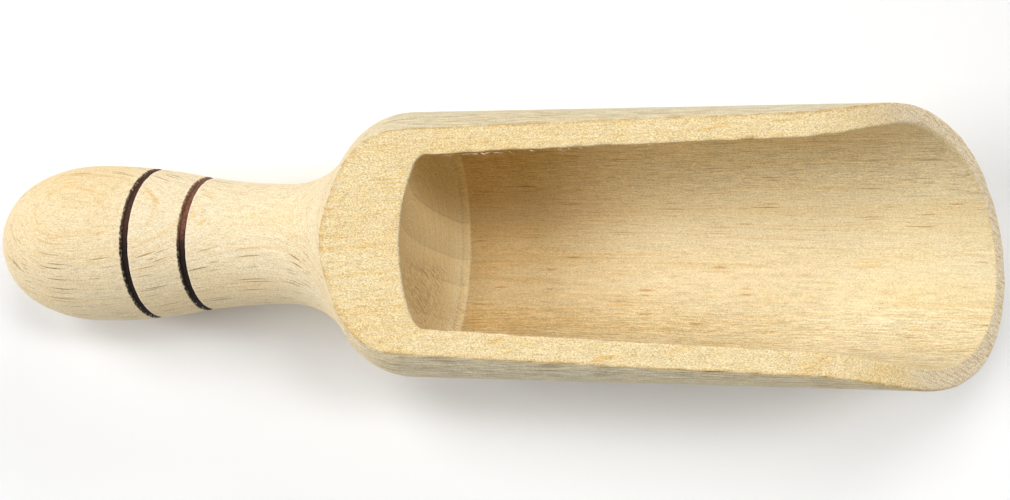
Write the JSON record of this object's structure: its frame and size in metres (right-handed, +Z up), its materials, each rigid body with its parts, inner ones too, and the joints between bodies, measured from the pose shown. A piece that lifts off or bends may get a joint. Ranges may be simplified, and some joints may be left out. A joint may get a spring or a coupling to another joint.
{
  "type": "measuring scoop",
  "caption": "Turned beech measuring scoop: open round bowl with a sawn flat rim and a raked mouth, cove neck, and a knob grip with burnt rings.",
  "frame": {"origin": "on the ground under the middle of the bounding box, with the scoop lying as it rests: on the underside of its knob and on its rounded shoulder", "axes": "+X from the knob towards the mouth (the turning axis rises 8.1 degrees towards +X), +Y to the far side, +Z up out of the open bowl"},
  "size_m": [0.1773, 0.045, 0.0418],
  "materials": {
    "beech": "fine-sanded bare beech, no lacquer",
    "char": "wood charred by friction, matt brown-black"
  },
  "bodies": {
    "root": {"scoop_body": "beech", "burnt_ring_rear": "char", "burnt_ring_front": "char"}
  },
  "joints": []
}
